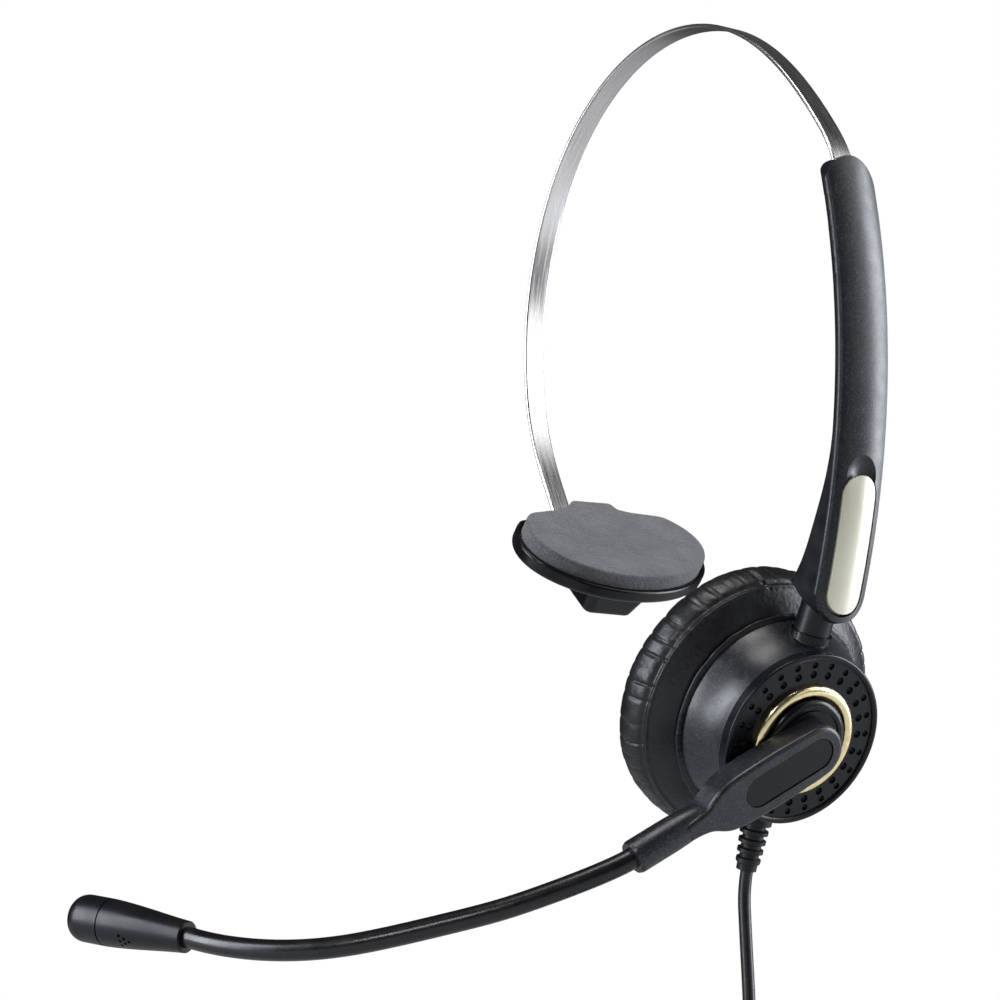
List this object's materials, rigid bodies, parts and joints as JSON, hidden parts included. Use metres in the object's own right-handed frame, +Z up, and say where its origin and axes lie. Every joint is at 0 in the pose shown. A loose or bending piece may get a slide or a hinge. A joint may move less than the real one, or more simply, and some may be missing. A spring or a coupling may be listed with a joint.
{
  "type": "office headset",
  "caption": "Single-ear office headset: steel strip headband, sliding arm, padded ear cup, swivelling microphone boom on a bent tube, temple pad, and a coiled cable with a plug.",
  "frame": {"origin": "underside of the headband at the crown of the wearer's head", "axes": "+Z up, +X towards the ear cup (the wearer's left), -Y to the wearer's front, where the boom points"},
  "size_m": [0.1263, 0.1529, 0.3096],
  "materials": {
    "steel": "brushed along the strip, satin",
    "grey_metal": "satin",
    "gold_plate": "polished plating",
    "gold": "polished",
    "gloss_black": "gloss",
    "satin_black": "satin with a fine sparkle",
    "disc_black": "satin",
    "matte_black": "matte",
    "black_plastic": "moulded, matte",
    "pearl": "pearl lacquer",
    "foam": "open-cell foam, matte",
    "leatherette": "soft satin leatherette",
    "cloth": "woven",
    "rubber_black": "matte",
    "cable_jacket": "satin jacket",
    "boom_sleeve": "satin sleeve",
    "cone_film": "thin film",
    "board": "coated board"
  },
  "bodies": {
    "headband": {"headband_strip": "steel", "strip_stop": "black_plastic", "temple_clip": "grey_metal"},
    "temple_pad": {"temple_plate": "gloss_black", "temple_foam": "foam", "temple_pin": "grey_metal"},
    "arm": {"arm_outer_shell": "satin_black", "arm_inner_shell": "matte_black", "arm_insert": "pearl", "arm_screws": "grey_metal", "size_spring": "steel", "neck": "matte_black", "neck_clip": "steel"},
    "ear_cup": {"cup_shell": "satin_black", "disc_cover": "disc_black", "gold_ring": "gold", "neck_ring": "gloss_black", "baffle_plate": "black_plastic", "cup_screws": "grey_metal", "driver_frame": "black_plastic", "driver_magnet": "steel", "driver_cone": "cone_film", "terminal_board": "board", "cushion_lip": "leatherette", "ear_cushion": "leatherette", "ear_scrim": "cloth", "strain_relief": "rubber_black", "cable": "cable_jacket", "cable_coil": "cable_jacket", "cable_tie": "rubber_black", "plug_boot": "rubber_black", "plug_body": "matte_black", "plug_shaft": "gold_plate", "plug_rings": "black_plastic"},
    "boom": {"pivot_disc": "gloss_black", "boom_arm": "satin_black", "boom_inlay": "gloss_black", "boom_axle": "steel", "axle_clip": "steel", "wave_washer": "steel", "boom_tube": "boom_sleeve", "mic_body": "matte_black", "mic_cap": "matte_black", "mic_element": "steel"}
  },
  "joints": [
    {"name": "size_slide", "type": "hinge", "parent": "headband", "child": "arm", "pos_m": [-0.103, 0, -0.0862], "axis": [0, 1, 0], "range_deg": [0, 8]},
    {"name": "pad_tilt", "type": "hinge", "parent": "headband", "child": "temple_pad", "pos_m": [-0.03674, 0, -0.12434], "axis": [0, 1, 0], "range_deg": [-15, 15]},
    {"name": "cup_swivel", "type": "hinge", "parent": "arm", "child": "ear_cup", "pos_m": [0.03653, 0, -0.1614], "axis": [0.4321, 0, 0.9018], "range_deg": [-20, 20]},
    {"name": "boom_turn", "type": "hinge", "parent": "ear_cup", "child": "boom", "pos_m": [0.0432, 0, -0.1646], "axis": [-0.9018, 0, 0.4321], "range_deg": [-45, 100]}
  ]
}
